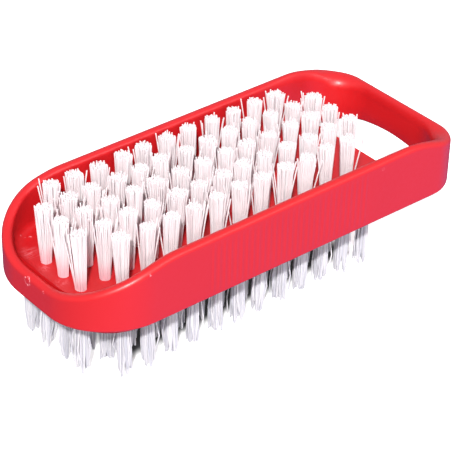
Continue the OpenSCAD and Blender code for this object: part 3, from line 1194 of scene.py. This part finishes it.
@dataclass
class TuftField:
    """One face's tufts, row by row, each a bundle of separate filaments.

    A pair holds the least and the greatest value that chance gives a filament or a tuft.

    Attributes:
        sizes: Sizes shared with the moulding.
        side: Which face of the deck the tufts stand on.
        per_tuft: Filaments in a tuft.
        filament_d: Diameter of a filament.
        foot_r: Radius of the bundle where it leaves its bore.
        tip_r: Radius of the bundle at its cut end.
        tuft_spread: Factor on that radius for a whole tuft.
        reach: Factor on that radius for a filament.
        foot_turn: Greatest turn of a filament's foot about the tuft's middle, in radians.
        tip_turn: Greatest further turn of its tip.
        fall: Greatest amount by which an ordinary filament falls short.
        lean: Greatest lean of a whole tuft, at its tip.
        bow: Share of its way out that a filament makes late.
        sway: Greatest shift of a filament half way up.
        stray_share: Share of filaments that splay out.
        stray_from: Share of the radius from which a filament can be a stray.
        stray_r: Reach of a stray at its tip.
        stray_reach: Share of that reach that a stray makes use of.
        stray_turn: Greatest turn of a stray's tip.
        clumps: Points that the tips draw together into, or none.
        clump_reach: Distance of a point from the middle, as a share of the tip's radius.
        clump_shift: Greatest shift of a point round the middle, as a share of their spacing.
        notch: Greatest amount by which a whole point falls short.
        notch_power: How seldom a point falls short by much.
        pull: Share of its way to its point that a filament is drawn.
        point_r: Radius within which a point is level.
        taper: Fall of a filament for each millimetre beyond that radius.
        taper_share: Factor on that fall.
        draw_from: Share of the length from which filaments draw together into a point.
        belly: Share of its spread by which the bundle is wider half way.
        sunk: Depth of the feet in their bore.
        ring_shares: Places of a filament's rings, as shares of its length.
        sides: Sides of a filament.
        crease_deg: Edges that turn more than this are drawn sharp.
    """

    sizes: BrushSizes
    side: Side
    per_tuft: int = 96
    filament_d: float = 0.28
    foot_r: float = 0.96
    tip_r: float = 1.7
    tuft_spread: Pair = (0.88, 1.12)
    reach: Pair = (0.88, 1.1)
    foot_turn: float = 0.15
    tip_turn: float = 0.16
    fall: float = 0.4
    lean: float = 0.3
    bow: Pair = (0.03, 0.22)
    sway: float = 0.12
    stray_share: float = 0.06
    stray_from: float = 0.5
    stray_r: float = 3.1
    stray_reach: Pair = (0.25, 1.0)
    stray_turn: float = 0.6
    clumps: int = 0
    clump_reach: Pair = (0.3, 1.05)
    clump_shift: float = 0.25
    notch: float = 1.5
    notch_power: float = 1.5
    pull: Pair = (0.35, 0.8)
    point_r: float = 0.25
    taper: float = 1.7
    taper_share: Pair = (0.5, 1.2)
    draw_from: float = 0.5
    belly: float = 0.0
    sunk: float = 1.2
    ring_shares: tuple[float, ...] = (0.0, 0.1, 0.4, 0.72, 1.0)
    sides: int = 5
    crease_deg: float = 70.0

    @property
    def height(self) -> float:
        """Length of a tuft."""
        return self.sizes.tuft_h if self.side is Side.TOP else self.sizes.low_tuft_h

    def tuft_shape(self, dice: random.Random) -> TuftShape:
        """Draw what sets one tuft apart.

        Args:
            dice: Source of the tuft's own variation.

        Returns:
            The tuft's shape.
        """
        lean = (dice.uniform(-self.lean, self.lean), dice.uniform(-self.lean, self.lean))
        turn = dice.uniform(0, 2 * math.pi)
        spread = dice.uniform(*self.tuft_spread)
        spots = []
        for k in range(self.clumps):
            away = dice.uniform(*self.clump_reach) * self.tip_r
            shift = dice.uniform(-self.clump_shift, self.clump_shift)
            angle = turn + 2 * math.pi * (k + shift) / self.clumps
            short = self.notch * dice.random() ** self.notch_power if k else 0.0
            spots.append((away * math.cos(angle), away * math.sin(angle), short))
        return TuftShape(lean, turn, spread, spots)

    def filament(self, dice: random.Random, shape: TuftShape, number: int) -> list[Point]:
        """Lay out one filament of a tuft that stands on the deck at height 0.

        Args:
            dice: Source of the tuft's own variation.
            shape: The tuft's shape.
            number: Number of the filament, counted from 0 at the tuft's middle.

        Returns:
            Its centre line, from its foot in the bore to its cut end.
        """
        share = math.sqrt((number + 0.5) / self.per_tuft)
        angle = shape.turn + number * GOLDEN_TURN + dice.uniform(-self.foot_turn, self.foot_turn)
        foot = (self.foot_r * share * math.cos(angle), self.foot_r * share * math.sin(angle))
        reach = self.tip_r * shape.spread * share * dice.uniform(*self.reach)
        aim = angle + dice.uniform(-self.tip_turn, self.tip_turn)
        short = self.fall * dice.random() ** 2
        if dice.random() < self.stray_share and share > self.stray_from:
            reach = mix(self.tip_r, self.stray_r, dice.uniform(*self.stray_reach))
            aim = angle + dice.uniform(-self.stray_turn, self.stray_turn)
            short += self.fall * dice.random()
        tip = (reach * math.cos(aim), reach * math.sin(aim))
        draw = (0.0, 0.0)
        if shape.spots:
            spot = min(shape.spots, key=lambda q: math.hypot(q[0] - tip[0], q[1] - tip[1]))
            off = (spot[0] - tip[0], spot[1] - tip[1])
            pull = dice.uniform(*self.pull)
            draw = (pull * off[0], pull * off[1])
            past = max(0.0, math.hypot(*off) - self.point_r)
            short += spot[2] + self.taper * past * dice.uniform(*self.taper_share)
        tip = (tip[0] + shape.lean[0], tip[1] + shape.lean[1])
        bow = dice.uniform(*self.bow)
        sway = (dice.uniform(-self.sway, self.sway), dice.uniform(-self.sway, self.sway))
        top = self.height - short
        line = []
        for t in self.ring_shares:
            out = max(0.0, mix(t, t * t, bow) + 4 * self.belly * t * (1 - t))
            bulge = math.sin(math.pi * t)
            near = max(0.0, (t - self.draw_from) / (1 - self.draw_from))
            line.append((mix(foot[0], tip[0], out) + sway[0] * bulge + draw[0] * near,
                         mix(foot[1], tip[1], out) + sway[1] * bulge + draw[1] * near,
                         mix(-self.sunk, top, t)))
        return line

    def tube(self, line: list[Point], start: int) -> tuple[list[Point], list[tuple[int, ...]]]:
        """Sweep a thin round tube with flat cut ends along a nearly upright line.

        Args:
            line: Centre line.
            start: Number of the tube's first point.

        Returns:
            Points and faces.
        """
        radius, sides = self.filament_d / 2, self.sides
        angles = [2 * math.pi * k / sides for k in range(sides)]
        points = [(x + radius * math.cos(a), y + radius * math.sin(a), z)
                  for x, y, z in line for a in angles]
        faces = []
        for i in range(len(line) - 1):
            a, b = start + i * sides, start + (i + 1) * sides
            for k in range(sides):
                m = (k + 1) % sides
                faces.append((a + k, a + m, b + m, b + k))
        last = start + (len(line) - 1) * sides
        faces.append(tuple(last + k for k in range(sides)))
        faces.append(tuple(start + k for k in reversed(range(sides))))
        return points, faces

    def build_row(self, row: int, material: bpy.types.Material) -> bpy.types.Object:
        """Build the tufts of one row.

        Args:
            row: Row, counted from 1 at the far side.
            material: Nylon of the filaments.

        Returns:
            The object.
        """
        s = self.sizes
        up = self.side is Side.TOP
        base, sign = (s.deck_top, 1) if up else (s.deck_bottom, -1)
        points: list[Point] = []
        faces: list[tuple[int, ...]] = []
        for col, (x, y) in enumerate(s.tuft_places(self.side, row)):
            dice = random.Random(f"{self.side.value}-{row}-{col}")
            shape = self.tuft_shape(dice)
            for number in range(self.per_tuft):
                line = self.filament(dice, shape, number)
                placed = [(x + px, y + py, base + sign * pz) for px, py, pz in line]
                tube_points, tube_faces = self.tube(placed[::sign], len(points))
                points += tube_points
                faces += tube_faces
        node = f"{self.side.value}_tufts_row_{row}"
        made = make_object(f"{node}_filaments", points, faces, material, self.crease_deg)
        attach(made, ROOT)
        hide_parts(node)
        return made


@dataclass(frozen=True)
class Anchors:
    """Flat wire anchors, which keep their own solids and get their metal.

    Attributes:
        rows: Number of rows on each face.
    """

    rows: int

    def dress(self, material: bpy.types.Material) -> list[bpy.types.Object]:
        """Give every anchor node its metal.

        Args:
            material: The metal.

        Returns:
            The nodes' objects.
        """
        names = [f"{side.value}_anchors_row_{row}" for side in Side
                 for row in range(1, self.rows + 1)]
        nodes = [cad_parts[name] for name in names]
        for node in nodes:
            for slot in node.material_slots:
                slot.material = material
        return nodes


@dataclass(frozen=True)
class Lamp:
    """Square lamp that looks at the brush.

    Attributes:
        name: Name of the lamp.
        place: Its place, in metres.
        size: Length of its side, in metres.
        power: Its power, in watts.
        colour: Its colour.
    """

    name: str
    place: Point
    size: float
    power: float
    colour: str

    def build(self, aim: Point) -> None:
        """Hang the lamp.

        Args:
            aim: Point that it looks at, in metres.
        """
        data = bpy.data.lights.new(self.name, "AREA")
        data.shape = "SQUARE"
        data.size = self.size
        data.energy = self.power
        data.color = linear(self.colour)[:3]
        made = bpy.data.objects.new(self.name, data)
        made.location = self.place
        made.rotation_mode = "QUATERNION"
        made.rotation_quaternion = (Vector(aim) - Vector(self.place)).to_track_quat("-Z", "Y")
        bpy.context.scene.collection.objects.link(made)


@dataclass(frozen=True)
class Studio:
    """Camera, lights, floor and background.

    Attributes:
        deck_top: Height of the deck's upper face, in millimetres.
        grid_centre: Middle of the upper tufts' feet, in millimetres, from which the camera is
            set out.
        azimuth: Direction of the view, in degrees from +Y towards -X.
        elevation: Slope of the view below the horizon, in degrees.
        roll: Turn of the camera about its axis, in degrees.
        offset: Where the axis passes the grid's middle, to the right and up, in millimetres.
        distance: Distance from the camera to the grid's plane, in millimetres.
        lens: Focal length, in millimetres.
        sensor: Width of the sensor, in millimetres.
        clip: Nearest and farthest distance that the camera sees, in metres.
        floor_m: Length of the floor's side, in metres.
        soft_colour: Colour of the even light from all round.
        sheen_colour: Colour that glossy faces see all round.
        aim: Point that the lamps look at, in metres.
        lamps: The lamps.
    """

    deck_top: float
    grid_centre: Pair = (-6.35, 0.0)
    azimuth: float = -40.18
    elevation: float = 34.11
    roll: float = 1.27
    offset: Pair = (4.742, -2.445)
    distance: float = 380.09
    lens: float = 150.3
    sensor: float = 36.0
    clip: Pair = (0.01, 20.0)
    floor_m: float = 3.0
    soft_colour: str = "#9a9a9f"
    sheen_colour: str = "#dcd8e6"
    aim: Point = (0.0, 0.0, 0.02)
    lamps: tuple[Lamp, ...] = (
        Lamp("key_flash", (-1.220, -1.308, 1.661), 0.12, 91.0, "#fffefd"),
        Lamp("fill_softbox", (0.83, -1.78, 1.40), 0.8, 16.0, "#fcfcff"),
        Lamp("low_softbox", (-1.112, -1.927, 0.92), 0.4, 14.0, "#fffefd"),
    )

    def camera(self) -> None:
        """Set the camera to the photograph's view."""
        az, el, roll = (math.radians(v) for v in (self.azimuth, self.elevation, self.roll))
        ahead = Vector((-math.sin(az) * math.cos(el), math.cos(az) * math.cos(el), -math.sin(el)))
        level = Vector((math.cos(az), math.sin(az), 0.0))
        upright = level.cross(ahead)
        right = math.cos(roll) * level + math.sin(roll) * upright
        up = -math.sin(roll) * level + math.cos(roll) * upright
        place = Vector((*self.grid_centre, self.deck_top)) - self.distance * ahead
        place += self.offset[0] * right + self.offset[1] * up
        data = bpy.data.cameras.new("camera")
        data.lens = self.lens
        data.sensor_width = self.sensor
        data.clip_start, data.clip_end = self.clip
        made = bpy.data.objects.new("camera", data)
        turn = Matrix((right, up, -ahead)).transposed().to_4x4()
        made.matrix_world = Matrix.Translation(place * MM) @ turn
        bpy.context.scene.collection.objects.link(made)
        bpy.context.scene.camera = made

    def world(self) -> None:
        """Set a white background with a soft even light."""
        world = bpy.data.worlds.new("studio")
        bpy.context.scene.world = world
        world.use_nodes = True
        tree = world.node_tree
        tree.nodes.clear()
        path = add_node(tree, "ShaderNodeLightPath")
        sheen = add_node(tree, "ShaderNodeMix", {"data_type": "RGBA"}, {
            "Factor": path.outputs["Is Glossy Ray"], "A": linear(self.soft_colour),
            "B": linear(self.sheen_colour)})
        colour = add_node(tree, "ShaderNodeMix", {"data_type": "RGBA"}, {
            "Factor": path.outputs["Is Camera Ray"], "A": sheen.outputs["Result"],
            "B": linear(WHITE)})
        light = add_node(tree, "ShaderNodeBackground",
                         inputs={"Color": colour.outputs["Result"], "Strength": 1.0})
        add_node(tree, "ShaderNodeOutputWorld", inputs={"Surface": light.outputs[0]})

    def floor(self) -> None:
        """Lay the floor."""
        half = self.floor_m / 2 / MM
        corners = [(-half, -half, 0.0), (half, -half, 0.0), (half, half, 0.0), (-half, half, 0.0)]
        made = make_object("table_top", corners, [(0, 1, 2, 3)], WhiteFloor().build())

    def build(self) -> None:
        """Set up the studio."""
        self.camera()
        self.world()
        self.floor()
        for lamp in self.lamps:
            lamp.build(self.aim)
        bpy.context.scene.view_settings.view_transform = "Standard"


def main() -> None:
    """Build and dress the brush."""
    logging.basicConfig(level=logging.INFO, format="%(name)s: %(message)s")
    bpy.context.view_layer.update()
    sizes = BrushSizes()
    Studio(sizes.deck_top).build()
    plastic = MouldedPolypropylene(sizes.deck_top).build()
    # The pink colours at the filaments' feet are painted light, red light from the moulding.
    upper_nylon = NylonFilament("nylon_upper", foot_z=sizes.deck_top, painted_bounce_mm=5.5,
                                painted_bounce_colour="#ffdde3", dull_colour="#fbf0f2").build()
    lower_nylon = NylonFilament("nylon_lower", foot_z=sizes.deck_bottom, painted_bounce_mm=-4.0,
                                painted_bounce_colour="#f6e8eb", dull_colour="#d8d8e1").build()
    upper = TuftField(sizes, Side.TOP)
    lower = TuftField(sizes, Side.BOTTOM, per_tuft=104, filament_d=0.26, foot_r=1.0, tip_r=1.5,
                      fall=0.8, stray_share=0.05, clumps=5, draw_from=0.72, belly=0.12)
    pieces = [Moulding(sizes).build(plastic)]
    for row in range(1, sizes.rows + 1):
        pieces.append(upper.build_row(row, upper_nylon))
        pieces.append(lower.build_row(row, lower_nylon))
    pieces += Anchors(sizes.rows).dress(GalvanisedWire().build())
    for piece in pieces:
        mesh = piece.data
        LOG.info("%s: %d points, %d faces", piece.name, len(mesh.vertices), len(mesh.polygons))


if __name__ == "__main__":
    main()
